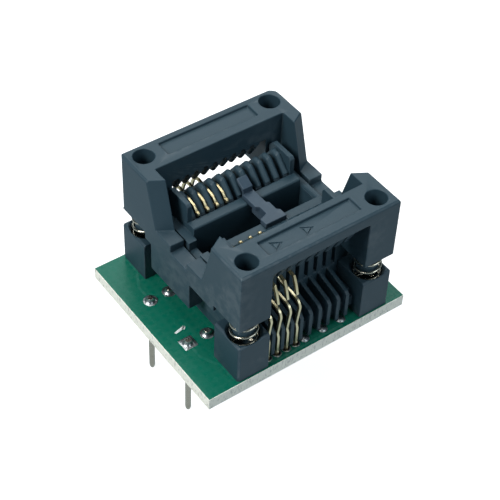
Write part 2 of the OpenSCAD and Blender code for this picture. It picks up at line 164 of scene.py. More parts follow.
class AdapterStage(bpy.types.PropertyGroup):
    """Camera and light."""

    azimuth: bpy.props.FloatProperty(
        name="Azimuth", description="Direction of the camera round the adapter",
        subtype="ANGLE", unit="ROTATION", default=math.radians(-37.69))
    elevation: bpy.props.FloatProperty(
        name="Elevation", description="Height of the camera over the board",
        subtype="ANGLE", unit="ROTATION", default=math.radians(45.51))
    roll: bpy.props.FloatProperty(
        name="Roll", description="Turn of the camera about its own line of sight",
        subtype="ANGLE", unit="ROTATION", default=math.radians(2.64))
    distance: bpy.props.FloatProperty(
        name="Distance", description="Distance from the camera to the middle of the socket",
        subtype="DISTANCE", unit="LENGTH", default=155.6 * MM)
    aim: bpy.props.FloatVectorProperty(
        name="Aim", description="Shift of the camera to its right and upwards",
        subtype="XYZ_LENGTH", unit="LENGTH", size=2, precision=6, default=(-0.57 * MM, 3.31 * MM))
    lens: bpy.props.FloatProperty(
        name="Lens", description="Focal length on a 36 mm sensor, in millimetres",
        subtype="DISTANCE_CAMERA", default=97.13)
    floor: bpy.props.FloatVectorProperty(
        name="Floor", description="Plain pale floor as the camera sees it, over its own glow",
        subtype="COLOR", size=4, min=0, max=1, default=(0.5, 0.5, 0.5, 1))
    bounce: bpy.props.FloatVectorProperty(
        name="Floor bounce", description="Light that the floor throws back on the adapter",
        subtype="COLOR", size=4, min=0, max=1, default=(0.35, 0.37, 0.4, 1))


# Shader helpers


def link(tree, a, b):
    tree.links.new(a, b)


def put(tree, kind, **values):
    """A node with some of its settings and unlinked inputs filled in."""
    node = tree.nodes.new(kind)
    for key, value in values.items():
        if hasattr(node, key) and key not in node.inputs:
            setattr(node, key, value)
        else:
            node.inputs[key].default_value = value
    return node


def group(name, inputs, outputs):
    """An empty shader group with named inputs and outputs, and its two end nodes."""
    tree = bpy.data.node_groups.new(name, "ShaderNodeTree")
    for label, kind, value in inputs:
        socket = tree.interface.new_socket(name=label, in_out="INPUT", socket_type=kind)
        if value is not None:
            socket.default_value = value
    for label, kind in outputs:
        tree.interface.new_socket(name=label, in_out="OUTPUT", socket_type=kind)
    return tree, tree.nodes.new("NodeGroupInput"), tree.nodes.new("NodeGroupOutput")


def math_node(tree, operation, a, b=0.0):
    """One arithmetic step; a and b are sockets or numbers."""
    node = tree.nodes.new("ShaderNodeMath")
    node.operation = operation
    for place, value in enumerate((a, b)):
        if isinstance(value, (int, float)):
            node.inputs[place].default_value = value
        else:
            link(tree, value, node.inputs[place])
    return node.outputs[0]


def span(tree, value, low, high, to_low, to_high):
    """Maps a value from one range to another, held at the ends."""
    node = put(tree, "ShaderNodeMapRange")
    link(tree, value, node.inputs["Value"])
    for key, number in zip(("From Min", "From Max", "To Min", "To Max"), (low, high, to_low, to_high)):
        if isinstance(number, (int, float)):
            node.inputs[key].default_value = number
        else:
            link(tree, number, node.inputs[key])
    return node.outputs["Result"]


def blend_colour(tree, factor, a, b, kind="MIX"):
    """Mixes two colours; each is a socket or a value."""
    node = tree.nodes.new("ShaderNodeMix")
    node.data_type = "RGBA"
    node.blend_type = kind
    ends = (node.inputs["Factor"], node.inputs[6], node.inputs[7])
    for socket, value in zip(ends, (factor, a, b)):
        if hasattr(value, "is_linked") or hasattr(value, "links"):
            link(tree, value, socket)
        else:
            socket.default_value = value
    return node.outputs[2]


def noise(tree, vector, scale, detail=3.0, rough=0.55, stretch=None):
    """A noise factor on a vector, which may be stretched first."""
    if stretch is not None:
        mapping = put(tree, "ShaderNodeMapping")
        mapping.inputs["Scale"].default_value = stretch
        link(tree, vector, mapping.inputs["Vector"])
        vector = mapping.outputs["Vector"]
    node = put(tree, "ShaderNodeTexNoise", Detail=detail, Roughness=rough)
    if isinstance(scale, (int, float)):
        node.inputs["Scale"].default_value = scale
    else:
        link(tree, scale, node.inputs["Scale"])
    link(tree, vector, node.inputs["Vector"])
    return node.outputs["Fac"]


def moulded_grain():
    """Fine spark-eroded grain of a moulding, with slow flow shading."""
    name = "Moulded grain"
    if name in bpy.data.node_groups:
        return bpy.data.node_groups[name]
    tree, start, end = group(
        name,
        [("Vector", "NodeSocketVector", None), ("Colour", "NodeSocketColor", (0.03, 0.04, 0.05, 1)),
         ("Light Colour", "NodeSocketColor", (0.06, 0.07, 0.08, 1)), ("Grain Scale", "NodeSocketFloat", 5200.0),
         ("Flow Scale", "NodeSocketFloat", 160.0), ("Low Roughness", "NodeSocketFloat", 0.4),
         ("High Roughness", "NodeSocketFloat", 0.56)],
        [("Colour", "NodeSocketColor"), ("Roughness", "NodeSocketFloat"), ("Height", "NodeSocketFloat")])
    grain = noise(tree, start.outputs["Vector"], start.outputs["Grain Scale"], 2.0, 0.6)
    flow = noise(tree, start.outputs["Vector"], start.outputs["Flow Scale"], 4.0, 0.6)
    shade = span(tree, flow, 0.3, 0.7, 0.0, 0.08)
    colour = blend_colour(tree, shade, start.outputs["Colour"], start.outputs["Light Colour"])
    link(tree, colour, end.inputs["Colour"])
    rough = span(tree, flow, 0.3, 0.7, start.outputs["Low Roughness"], start.outputs["High Roughness"])
    link(tree, rough, end.inputs["Roughness"])
    link(tree, grain, end.inputs["Height"])
    return tree


def edge_rub_and_highlight():
    """Lightens the edges that hands and machines rub: partly rubbed wear, partly painted highlight along the edges.
    """
    name = "Edge rub"
    if name in bpy.data.node_groups:
        return bpy.data.node_groups[name]
    tree, start, end = group(
        name,
        [("Vector", "NodeSocketVector", None), ("Colour", "NodeSocketColor", (0.03, 0.04, 0.05, 1)),
         ("Rubbed Colour", "NodeSocketColor", (0.1, 0.12, 0.13, 1)), ("Amount", "NodeSocketFloat", 0.5),
         ("Breaks", "NodeSocketFloat", 900.0)],
        [("Colour", "NodeSocketColor"), ("Mask", "NodeSocketFloat")])
    ridge = span(tree, tree.nodes.new("ShaderNodeNewGeometry").outputs["Pointiness"], 0.57, 0.66, 0.0, 1.0)
    breaks = span(tree, noise(tree, start.outputs["Vector"], start.outputs["Breaks"], 3.0), 0.4, 0.62, 0.0, 1.0)
    mask = math_node(tree, "MULTIPLY", math_node(tree, "MULTIPLY", ridge, breaks), start.outputs["Amount"])
    link(tree, blend_colour(tree, mask, start.outputs["Colour"], start.outputs["Rubbed Colour"]),
         end.inputs["Colour"])
    link(tree, mask, end.inputs["Mask"])
    return tree


def drawn_metal():
    """Streaks along a drawn or stamped metal part, with small stains."""
    name = "Drawn metal"
    if name in bpy.data.node_groups:
        return bpy.data.node_groups[name]
    tree, start, end = group(
        name,
        [("Vector", "NodeSocketVector", None), ("Colour", "NodeSocketColor", (0.6, 0.6, 0.6, 1)),
         ("Stain Colour", "NodeSocketColor", (0.4, 0.4, 0.38, 1)), ("Stretch", "NodeSocketVector", (1, 1, 0.08)),
         ("Streak Scale", "NodeSocketFloat", 9000.0), ("Stain Scale", "NodeSocketFloat", 700.0),
         ("Stain", "NodeSocketFloat", 0.35), ("Low Roughness", "NodeSocketFloat", 0.2),
         ("High Roughness", "NodeSocketFloat", 0.38)],
        [("Colour", "NodeSocketColor"), ("Roughness", "NodeSocketFloat"), ("Height", "NodeSocketFloat")])
    scaled = tree.nodes.new("ShaderNodeVectorMath")
    scaled.operation = "MULTIPLY"
    link(tree, start.outputs["Vector"], scaled.inputs[0])
    link(tree, start.outputs["Stretch"], scaled.inputs[1])
    streak = noise(tree, scaled.outputs["Vector"], start.outputs["Streak Scale"], 2.0, 0.5)
    stain = span(tree, noise(tree, start.outputs["Vector"], start.outputs["Stain Scale"], 4.0, 0.65),
                 0.45, 0.7, 0.0, 1.0)
    mask = math_node(tree, "MULTIPLY", stain, start.outputs["Stain"])
    link(tree, blend_colour(tree, mask, start.outputs["Colour"], start.outputs["Stain Colour"]),
         end.inputs["Colour"])
    both = math_node(tree, "ADD", math_node(tree, "MULTIPLY", streak, 0.6), math_node(tree, "MULTIPLY", stain, 0.4))
    rough = span(tree, both, 0.2, 0.8, start.outputs["Low Roughness"], start.outputs["High Roughness"])
    link(tree, rough, end.inputs["Roughness"])
    link(tree, streak, end.inputs["Height"])
    return tree


def glass_weave():
    """Woven glass cloth that shows faintly in a laminate."""
    name = "Glass weave"
    if name in bpy.data.node_groups:
        return bpy.data.node_groups[name]
    tree, start, end = group(
        name,
        [("Vector", "NodeSocketVector", None), ("Yarn Scale", "NodeSocketFloat", 2100.0)],
        [("Mask", "NodeSocketFloat"), ("Height", "NodeSocketFloat")])
    bands = []
    for direction in ("X", "Y"):
        wave = put(tree, "ShaderNodeTexWave", bands_direction=direction, Distortion=0.6, Detail=1.0)
        wave.inputs["Detail Scale"].default_value = 0.4
        link(tree, start.outputs["Vector"], wave.inputs["Vector"])
        link(tree, math_node(tree, "MULTIPLY", start.outputs["Yarn Scale"], 0.159), wave.inputs["Scale"])
        bands.append(wave.outputs["Fac"])
    cloth = math_node(tree, "MAXIMUM", bands[0], bands[1])
    patch = span(tree, noise(tree, start.outputs["Vector"], 320.0, 4.0, 0.6), 0.35, 0.7, 0.35, 1.0)
    link(tree, math_node(tree, "MULTIPLY", cloth, patch), end.inputs["Mask"])
    link(tree, cloth, end.inputs["Height"])
    return tree


def place_group(tree, subgroup, vector, **values):
    """Puts a group in a material, fed by a vector and the material's own values."""
    node = tree.nodes.new("ShaderNodeGroup")
    node.node_tree = subgroup
    link(tree, vector, node.inputs["Vector"])
    for key, value in values.items():
        label = key.replace("_", " ").title()
        if hasattr(value, "is_output"):
            link(tree, value, node.inputs[label])
        else:
            node.inputs[label].default_value = value
    return node


def new_material(name):
    """An empty material with its shader, output and object coordinates."""
    material = bpy.data.materials.new(name)
    material.use_nodes = True
    tree = material.node_tree
    tree.nodes.clear()
    shader = tree.nodes.new("ShaderNodeBsdfPrincipled")
    output = tree.nodes.new("ShaderNodeOutputMaterial")
    link(tree, shader.outputs["BSDF"], output.inputs["Surface"])
    place = tree.nodes.new("ShaderNodeTexCoord").outputs["Object"]
    return material, tree, shader, place


def bump(tree, shader, height, strength, distance):
    """Feeds a height to the shader's normal."""
    node = put(tree, "ShaderNodeBump", Strength=strength, Distance=distance)
    link(tree, height, node.inputs["Height"])
    link(tree, node.outputs["Normal"], shader.inputs["Normal"])


def lighter(colour, share):
    """A colour moved towards white."""
    return tuple(c + (1 - c) * share for c in colour[:3]) + (1.0,)


def resin_material(name, colour, rub, low, high):
    if name in bpy.data.materials:
        return bpy.data.materials[name]
    material, tree, shader, place = new_material(name)
    grain = place_group(tree, moulded_grain(), place, colour=tuple(colour), light_colour=lighter(colour, 0.025),
                        low_roughness=low, high_roughness=high)
    # Painted highlight along the sharp edges, partly rubbed wear; the rub amount sets both
    worn = place_group(tree, edge_rub_and_highlight(), place, colour=grain.outputs["Colour"],
                       rubbed_colour=lighter(colour, 0.08), amount=rub)
    link(tree, worn.outputs["Colour"], shader.inputs["Base Color"])
    rough = math_node(tree, "SUBTRACT", grain.outputs["Roughness"],
                      math_node(tree, "MULTIPLY", worn.outputs["Mask"], 0.08))
    link(tree, rough, shader.inputs["Roughness"])
    shader.inputs["Specular IOR Level"].default_value = 0.42
    bump(tree, shader, grain.outputs["Height"], 0.35, 0.012 * MM)
    return material


def mask_material(name, colour, copper):
    if name in bpy.data.materials:
        return bpy.data.materials[name]
    material, tree, shader, place = new_material(name)
    weave = place_group(tree, glass_weave(), place)
    cloud = span(tree, noise(tree, place, 210.0, 4.0, 0.6), 0.35, 0.7, 0.0, 0.4)
    base = blend_colour(tree, cloud, tuple(colour), tuple(copper))
    shade = blend_colour(tree, math_node(tree, "MULTIPLY", weave.outputs["Mask"], 0.16), base, lighter(copper, 0.1))
    link(tree, shade, shader.inputs["Base Color"])
    link(tree, span(tree, noise(tree, place, 900.0, 3.0), 0.3, 0.7, 0.2, 0.33), shader.inputs["Roughness"])
    shader.inputs["Specular IOR Level"].default_value = 0.22
    shader.inputs["Coat Weight"].default_value = 0.04
    shader.inputs["Coat Roughness"].default_value = 0.15
    bump(tree, shader, weave.outputs["Height"], 0.12, 0.01 * MM)
    return material


def laminate_material(name, colour):
    if name in bpy.data.materials:
        return bpy.data.materials[name]
    material, tree, shader, place = new_material(name)
    fibres = noise(tree, place, 2600.0, 3.0, 0.6, stretch=(1, 1, 0.5))
    sawn = noise(tree, place, 5200.0, 4.0, 0.7, stretch=(1, 1, 0.6))
    mixed = math_node(tree, "ADD", math_node(tree, "MULTIPLY", fibres, 0.5), math_node(tree, "MULTIPLY", sawn, 0.5))
    dull = tuple(c * 0.62 for c in colour[:3]) + (1.0,)
    link(tree, blend_colour(tree, span(tree, mixed, 0.34, 0.49, 0.0, 1.0), dull, tuple(colour)),
         shader.inputs["Base Color"])
    link(tree, span(tree, sawn, 0.3, 0.7, 0.55, 0.8), shader.inputs["Roughness"])
    bump(tree, shader, mixed, 0.5, 0.02 * MM)
    return material


def metal_material(name, colour, stain, low, high, stretch=(1, 1, 0.08), spots=0.35, height=0.15):
    if name in bpy.data.materials:
        return bpy.data.materials[name]
    material, tree, shader, place = new_material(name)
    metal = place_group(tree, drawn_metal(), place, colour=tuple(colour), stain_colour=tuple(stain),
                        stretch=stretch, stain=spots, low_roughness=low, high_roughness=high)
    link(tree, metal.outputs["Colour"], shader.inputs["Base Color"])
    link(tree, metal.outputs["Roughness"], shader.inputs["Roughness"])
    shader.inputs["Metallic"].default_value = 1.0
    bump(tree, shader, metal.outputs["Height"], height, 0.008 * MM)
    return material


def gold_material(name, colour, tarnish_and_shade):
    """Gold plate with painted shade: it turns duller and greener towards the contact tips, where they sit in shade.
    """
    if name in bpy.data.materials:
        return bpy.data.materials[name]
    material, tree, shader, place = new_material(name)
    metal = place_group(tree, drawn_metal(), place, colour=tuple(colour), stain_colour=tuple(tarnish_and_shade),
                        stretch=(0.2, 1, 0.2), stain=0.25, low_roughness=0.3, high_roughness=0.46)
    split = tree.nodes.new("ShaderNodeSeparateXYZ")
    link(tree, place, split.inputs[0])
    # Painted shade: the gold is blended towards the shade colour higher up the contacts
    painted_tip_shade = span(tree, split.outputs["Z"], 9.2 * MM, 12.0 * MM, 0.0, 0.75)
    link(tree, blend_colour(tree, painted_tip_shade, metal.outputs["Colour"], tuple(tarnish_and_shade)), shader.inputs["Base Color"])
    link(tree, metal.outputs["Roughness"], shader.inputs["Roughness"])
    shader.inputs["Metallic"].default_value = 1.0
    bump(tree, shader, metal.outputs["Height"], 0.15, 0.006 * MM)
    return material


def ink_material(name, colour):
    if name in bpy.data.materials:
        return bpy.data.materials[name]
    material, tree, shader, place = new_material(name)
    worn = span(tree, noise(tree, place, 3000.0, 3.0), 0.35, 0.6, 0.75, 1.0)
    link(tree, blend_colour(tree, worn, (0.2, 0.32, 0.26, 1), tuple(colour)), shader.inputs["Base Color"])
    shader.inputs["Roughness"].default_value = 0.55
    return material


# Mesh helpers


def finish_piece(name, bm, body, materials, replaces=()):
    """Makes an object of a bmesh, in the row frame, and ties it to its CAD body."""
    mesh = bpy.data.meshes.new(name)
    bm.to_mesh(mesh)
    bm.free()
    for material in materials:
        mesh.materials.append(material)
    obj = bpy.data.objects.new(name, mesh)
    bpy.context.scene.collection.objects.link(obj)
    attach(obj, body)
    if replaces:
        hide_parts(*replaces)
    return obj


def smooth(obj, degrees=30.0):
    """Smooth shading that keeps the sharp edges."""
    mesh = obj.data
    mesh.polygons.foreach_set("use_smooth", [True] * len(mesh.polygons))
    mesh.set_sharp_from_angle(angle=math.radians(degrees))


def merged_copy(node):
    """A CAD node's mesh as a bmesh with its loose triangles joined and its flat faces whole."""
    bm = bmesh.new()
    bm.from_mesh(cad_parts[node].data)
    bmesh.ops.remove_doubles(bm, verts=bm.verts, dist=0.002 * MM)
    bmesh.ops.dissolve_limit(bm, angle_limit=math.radians(0.6), use_dissolve_boundaries=False,
                             verts=bm.verts, edges=bm.edges)
    bmesh.ops.recalc_face_normals(bm, faces=bm.faces)
    bm.edges.ensure_lookup_table()
    return bm


SHARP = math.radians(24)
FACET = math.radians(62)


def edge_room(bm, width):
    """Bevel weight of each sharp edge, smaller where another sharp edge is near."""
    layer = bm.edges.layers.float.new("bevel_weight_edge")
    sharp = [e for e in bm.edges if len(e.link_faces) == 2 and e.calc_face_angle(0.0) > SHARP]
    sharp_set = set(sharp)
    step = width * 1.5
    samples = []
    for e in sharp:
        a, b = e.verts[0].co, e.verts[1].co
        count = max(1, int(e.calc_length() / step))
        samples += [(a.lerp(b, (k + 0.5) / count), e.index) for k in range(count)]
    tree = KDTree(len(samples))
    for k, (point, _) in enumerate(samples):
        tree.insert(point, k)
    tree.balance()
    room = {e.index: 4 * width for e in sharp}
    for point, index in samples:
        e = bm.edges[index]
        along = (e.verts[1].co - e.verts[0].co).normalized()
        ends = {e.verts[0], e.verts[1]}
        for _, other, distance in tree.find_range(point, 4 * width):
            near = samples[other][1]
            if near == index or ends & {bm.edges[near].verts[0], bm.edges[near].verts[1]}:
                continue
            across = (samples[other][0] - point)
            across -= along * across.dot(along)
            if across.length > 0.15 * distance:
                room[index] = min(room[index], distance)
    for e in sharp:
        share = min(1.0, 0.4 * room[e.index] / width)
        facet = e.calc_length() < 0.75 * width and e.calc_face_angle(0.0) < FACET
        e[layer] = 0.0 if share < 0.12 or facet or stub(e, sharp_set, 1.2 * width) else share


def stub(edge, sharp, reach):
    """Whether an edge is short and no sharp edge runs on from one of its ends."""
    if edge.calc_length() > reach:
        return False
    for end in edge.verts:
        out = (end.co - edge.other_vert(end).co).normalized()
        runs = [(e.other_vert(end).co - end.co).normalized() for e in end.link_edges if e != edge and e in sharp]
        if not any(run.dot(out) > 0.8 for run in runs):
            return True
    return False


def rounded_piece(name, node, body, material, width, segments=3):
    """A CAD solid with its edges broken, which stands for the plain solid."""
    bm = merged_copy(node)
    edge_room(bm, width)
    obj = finish_piece(name, bm, body, [material], [node])
    mesh = obj.data
    mesh.polygons.foreach_set("use_smooth", [True] * len(mesh.polygons))
    mesh.set_sharp_from_angle(angle=SHARP)
    round_off = obj.modifiers.new("Broken edges", "BEVEL")
    round_off.width = width
    round_off.segments = segments
    round_off.profile = 0.5
    round_off.limit_method = "WEIGHT"
    round_off.use_clamp_overlap = False
    round_off.harden_normals = True
    round_off.miter_outer = "MITER_ARC"
    return obj


def turned_piece(profile, spot, steps):
    """A solid of revolution at its place: profile is [(radius, height)] from the axis out and back."""
    bm = bmesh.new()
    verts = [bm.verts.new((r, 0.0, z)) for r, z in profile]
    edges = [bm.edges.new(pair) for pair in zip(verts, verts[1:])]
    bmesh.ops.spin(bm, geom=verts + edges, cent=(0, 0, 0), axis=(0, 0, 1), dvec=(0, 0, 0),
                   angle=2 * math.pi, steps=steps, use_merge=True, use_duplicate=False)
    bmesh.ops.remove_doubles(bm, verts=bm.verts, dist=0.001 * MM)
    bmesh.ops.recalc_face_normals(bm, faces=bm.faces)
    bmesh.ops.translate(bm, verts=bm.verts, vec=(spot[0], spot[1], 0.0))
    return bm


def join_into(target, source):
    """Adds one bmesh to another."""
    mesh = bpy.data.meshes.new("part")
    source.to_mesh(mesh)
    source.free()
    target.from_mesh(mesh)
    bpy.data.meshes.remove(mesh)


def ribbon(bm, path, width, low, high):
    """Adds a flat strip along a path on the board, as high as its copper or ink."""
    verts = []
    for k, point in enumerate(path):
        before = (point - path[k - 1]).normalized() if k else None
        after = (path[k + 1] - point).normalized() if k + 1 < len(path) else None
        run = ((before or after) + (after or before)).normalized()
        side = Vector((-run.y, run.x)) * width / 2
        if before and after:
            side /= max(0.5, run.dot(before))
        verts.append((bm.verts.new((*(point + side), low)), bm.verts.new((*(point - side), low))))
    faces = [bm.faces.new((a[1], b[1], b[0], a[0])) for a, b in zip(verts, verts[1:])]
    raised = bmesh.ops.extrude_face_region(bm, geom=faces)
    top = [v for v in raised["geom"] if isinstance(v, bmesh.types.BMVert)]
    bmesh.ops.translate(bm, verts=top, vec=(0, 0, high - low))


# Operators, one for each piece or group of like pieces


class ADAPTER_OT_mouldings(bpy.types.Operator):
    """Cover, socket base and package stop with broken edges and moulded resin"""

    bl_idname = "adapter.mouldings"
    bl_label = "Mouldings"

    def execute(self, context):
        finish, sizes = context.scene.adapter_finish, context.scene.adapter_sizes
        resin = resin_material("black resin", finish.resin, 0.4, 0.45, 0.48)
        rounded_piece("cover_moulding", "cover", "cover", resin, sizes.edge)
        rounded_piece("socket_base_moulding", "socket_base", "base", resin, sizes.edge * 0.7)
        stop = resin_material("grey resin", finish.stop_resin, 0.4, 0.45, 0.48)
        rounded_piece("package_stop_moulding", "package_stop", "base", stop, sizes.edge * 0.7)
        return {"FINISHED"}


class ADAPTER_OT_board(bpy.types.Operator):
    """Circuit board with its lacquer, sawn edge, plated holes, pads, tracks and pin-one mark"""

    bl_idname = "adapter.board"
    bl_label = "Board"

    def execute(self, context):
        finish, sizes = context.scene.adapter_finish, context.scene.adapter_sizes
        mask = mask_material("solder mask", finish.mask, finish.mask_copper)
        copper = mask_material("mask on copper", finish.mask_copper, lighter(finish.mask_copper, 0.08))
        laminate = laminate_material("sawn laminate", finish.laminate)
        tinned = metal_material("tinned pad", finish.solder, (0.42, 0.42, 0.4, 1), 0.28, 0.45,
                                stretch=(1, 1, 1), spots=0.5)
        ink = ink_material("marking ink", finish.ink)

        bm = merged_copy("circuit_board")
        for face in bm.faces:
            spot = face.calc_center_median()
            inset = min(spot.x - BOARD_LOW.x, BOARD_HIGH.x - spot.x, spot.y - BOARD_LOW.y, BOARD_HIGH.y - spot.y)
            if abs(face.normal.z) < 0.5:
                face.material_index = 1 if inset < 0.05 * MM else 2
        edge_room(bm, 0.05 * MM)
        board = finish_piece("board_laminate", bm, "base", [mask, laminate, tinned],
                             ["circuit_board"])
        smooth(board)
        worn = board.modifiers.new("Sawn corner", "BEVEL")
        worn.width = 0.05 * MM
        worn.segments = 2
        worn.limit_method = "WEIGHT"
        worn.material = 1
        worn.use_clamp_overlap = False

        self.pads(tinned, sizes)
        self.tracks(copper, sizes)
        self.mark(ink)
        return {"FINISHED"}

    def pads(self, tinned, sizes):
        """Tinned rings round every plated hole, on both faces, with a square one at pin one."""
        rings = bmesh.new()
        thick = sizes.pad_height
        first = min(PIN_SPOTS, key=lambda s: s.x + s.y)
        for spots, inner, outer in ((PIN_SPOTS, 0.45, 0.84), (TAIL_SPOTS, 0.43, 0.58), (SPARE_SPOTS, 0.43, 0.6)):
            for spot in spots:
                for face in (0, 1):
                    low = BOARD_TOP if face else -thick
                    inner_r, outer_r = inner * MM, outer * MM
                    profile = [(inner_r, low), (outer_r, low), (outer_r, low + thick * 0.7),
                               (outer_r - 0.03 * MM, low + thick), (inner_r, low + thick), (inner_r, low)]
                    if not face:
                        profile = [(r, -thick - z) for r, z in profile]
                    ring = turned_piece(profile, (0, 0), 32)
                    if spot is first:
                        for v in ring.verts:
                            if v.co.xy.length > 0.8 * outer_r:
                                reach = max(abs(v.co.x), abs(v.co.y)) / v.co.xy.length
                                v.co.x, v.co.y = v.co.x / reach, v.co.y / reach
                    bmesh.ops.translate(ring, verts=ring.verts, vec=(spot.x, spot.y, 0))
                    join_into(rings, ring)
        obj = finish_piece("pad_rings", rings, "base", [tinned])
        smooth(obj)

    def tracks(self, copper, sizes):
        """Copper tracks from each board pin to its contact, raised under the lacquer."""
        strips = bmesh.new()
        low_pins = sorted((s for s in PIN_SPOTS if s.y < 0), key=lambda s: s.x)
        low_tails = sorted((s for s in TAIL_SPOTS if s.y < 0), key=lambda s: s.x)
        for pin, tail in zip(low_pins, low_tails):
            for side in (1, -1):
                end_y = -(TAIL_Y - 0.9 * MM)
                run = tail.x - pin.x
                path = [Vector((pin.x, pin.y)), Vector((pin.x, end_y + run)), Vector((tail.x, end_y)),
                        Vector((tail.x, -TAIL_Y))]
                path = [Vector((p.x, p.y * side)) for p in path]
                if side < 0:
                    path = path[::-1]
                ribbon(strips, path, sizes.track_width, 0.0, -sizes.track_height)
        for side in (1, -1):
            lead = [Vector((-3.81, -3.81)), Vector((-3.81, -6.2)), Vector((-2.6, -8.6)), Vector((-2.6, -10.6)),
                    Vector((3.6, -11.25)), Vector((12.0, -11.25))]
            ribbon(strips, [Vector((p.x, p.y * side)) * MM for p in (lead if side > 0 else lead[::-1])],
                   sizes.track_width, BOARD_TOP, BOARD_TOP + sizes.track_height)
        bmesh.ops.recalc_face_normals(strips, faces=strips.faces)
        finish_piece("copper_tracks", strips, "base", [copper])

    def mark(self, ink):
        """The numeral at pin one, printed in white."""
        strokes = bmesh.new()
        top = BOARD_TOP + 0.015 * MM
        for path in ([(-4.2, -1.85), (-2.85, -1.55)], [(-2.85, -1.55), (-3.12, -1.86)]):
            ribbon(strokes, [Vector(p) * MM for p in path], 0.3 * MM, BOARD_TOP, top)
        bmesh.ops.recalc_face_normals(strokes, faces=strokes.faces)
        finish_piece("pin_one_mark", strokes, "base", [ink])


class ADAPTER_OT_pins(bpy.types.Operator):
    """Eight turned board pins with tapered, rounded tips"""

    bl_idname = "adapter.pins"
    bl_label = "Pins"

    def execute(self, context):
        finish = context.scene.adapter_finish
        tin = metal_material("tinned pin", finish.tin, (0.36, 0.31, 0.24, 1), 0.22, 0.36, spots=0.4)
        for node in PINS:
            low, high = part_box(node)
            r = (high[0] - low[0]) / 2
            tip, head = low[2], high[2]
            profile = [(0, tip), (0.25 * r, tip + 0.004 * MM), (0.42 * r, tip + 0.03 * MM),
                       (0.58 * r, tip + 0.1 * MM), (0.78 * r, tip + 0.26 * MM), (0.92 * r, tip + 0.46 * MM),
                       (r, tip + 0.7 * MM), (r, tip + 3 * MM), (r, -0.1 * MM), (r, head - 0.12 * MM),
                       (0.93 * r, head - 0.04 * MM), (0.8 * r, head), (0, head)]
            spot = middle(node)
            bm = turned_piece(profile, spot.xy, 32)
            smooth(finish_piece(node + "_turned", bm, "base", [tin], [node]), 40)
        return {"FINISHED"}


class ADAPTER_OT_solder(bpy.types.Operator):
    """Solder that climbs the pins in hollow cones, fills the spare holes and holds the tails"""

    bl_idname = "adapter.solder"
    bl_label = "Solder"

    def execute(self, context):
        finish = context.scene.adapter_finish
        joint = metal_material("solder joint", finish.solder, (0.4, 0.4, 0.38, 1), 0.26, 0.44,
                               stretch=(1, 1, 1), spots=0.45)
        cones = bmesh.new()
        inside, collar, steps = 0.3, 0.36, 9
        for k, spot in enumerate(PIN_SPOTS):
            reach = 0.68 + 0.05 * math.sin(2.3 * k)
            climb = 0.46 + 0.03 * math.cos(1.7 * k)
            profile = [(inside * MM, BOARD_TOP + 0.01 * MM)]
            for j in range(steps + 1):
                t = j / steps
                r = reach - (reach - collar) * (1 - (1 - t) ** 1.5)
                z = climb * t ** 1.25
                profile.append((r * MM, BOARD_TOP + (0.03 + z) * MM))
            profile.append((inside * MM, profile[-1][1]))
            join_into(cones, turned_piece(profile, spot, 32))
        cones_obj = finish_piece("pin_solder", cones, "base", [joint], ["pin_solder_joints"])
        smooth(cones_obj, 50)

        fills = bmesh.new()
        low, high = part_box("spare_hole_solder")
        over, under = high[2] - BOARD_TOP, -low[2]
        fill_r = 0.52 * MM
        cap = [(fill_r * math.cos(a), math.sin(a)) for a in (j * math.pi / 12 for j in range(7))]
        profile = [(r, BOARD_TOP + over * rise) for r, rise in reversed(cap)]
        profile += [(r, -under * rise) for r, rise in cap]
        profile[0] = (0.0, profile[0][1])
        profile[-1] = (0.0, profile[-1][1])
        for spot in SPARE_SPOTS:
            join_into(fills, turned_piece(profile, spot, 28))
        smooth(finish_piece("spare_hole_fill", fills, "base", [joint], ["spare_hole_solder"]), 50)
        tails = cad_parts["contact_solder_joints"]
        tails.data.materials.clear()
        tails.data.materials.append(joint)
        return {"FINISHED"}


class ADAPTER_OT_contacts(bpy.types.Operator):
    """Stamped sheet contacts with gold plate"""

    bl_idname = "adapter.contacts"
    bl_label = "Contacts"

    def execute(self, context):
        finish, sizes = context.scene.adapter_finish, context.scene.adapter_sizes
        gold = gold_material("gold plate", finish.gold, finish.tarnish_and_shade)
        for node in CONTACTS:
            body = "front_contacts" if "front" in node else "rear_contacts"
            rounded_piece(node + "_sheet", node, body, gold, sizes.sheet_edge, 2)
        return {"FINISHED"}


class ADAPTER_OT_springs(bpy.types.Operator):
    """Four coil springs with closed ends"""

    bl_idname = "adapter.springs"
    bl_label = "Springs"

    def execute(self, context):
        finish, sizes = context.scene.adapter_finish, context.scene.adapter_sizes
        wire = metal_material("spring wire", finish.wire, (0.32, 0.32, 0.31, 1), 0.2, 0.36, spots=0.3)
        for node in SPRINGS:
            low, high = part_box(node)
            spot = middle(node)
            coil_r = (high[0] - low[0] - sizes.wire) / 2
            rise = high[2] - low[2]
            bm = bmesh.new()
            self.coil(bm, coil_r, sizes.wire / 2, rise, sizes.open_turns)
            bmesh.ops.translate(bm, verts=bm.verts, vec=(spot.x, spot.y, low[2]))
            obj = finish_piece(node + "_coil", bm, "base", [wire], [node])
            smooth(obj, 60)
            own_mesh(obj)
        return {"FINISHED"}

    def coil(self, bm, coil_r, wire_r, rise, open_turns):
        """Spins a round section up a helix: a closed turn, the open turns and a closed turn."""
        per_turn = 40
        closed = 2 * wire_r + 0.03 * MM
        opened = (rise - 2 * wire_r - 2 * closed) / open_turns
        made = bmesh.ops.create_circle(bm, cap_ends=True, segments=12, radius=wire_r)
        bmesh.ops.rotate(bm, verts=made["verts"], cent=(0, 0, 0), matrix=Matrix.Rotation(math.pi / 2, 3, "X"))
        bmesh.ops.translate(bm, verts=made["verts"], vec=(coil_r, 0, wire_r))
        geom = bm.verts[:] + bm.edges[:] + bm.faces[:]
        for turns, pitch in ((1, closed), (open_turns, opened), (1, closed)):
            steps = turns * per_turn
            swept = bmesh.ops.spin(bm, geom=geom, cent=(0, 0, 0), axis=(0, 0, 1), dvec=(0, 0, pitch / per_turn),
                                   angle=2 * math.pi * turns, steps=steps, use_merge=False)
            geom = swept["geom_last"]
        bmesh.ops.recalc_face_normals(bm, faces=bm.faces)


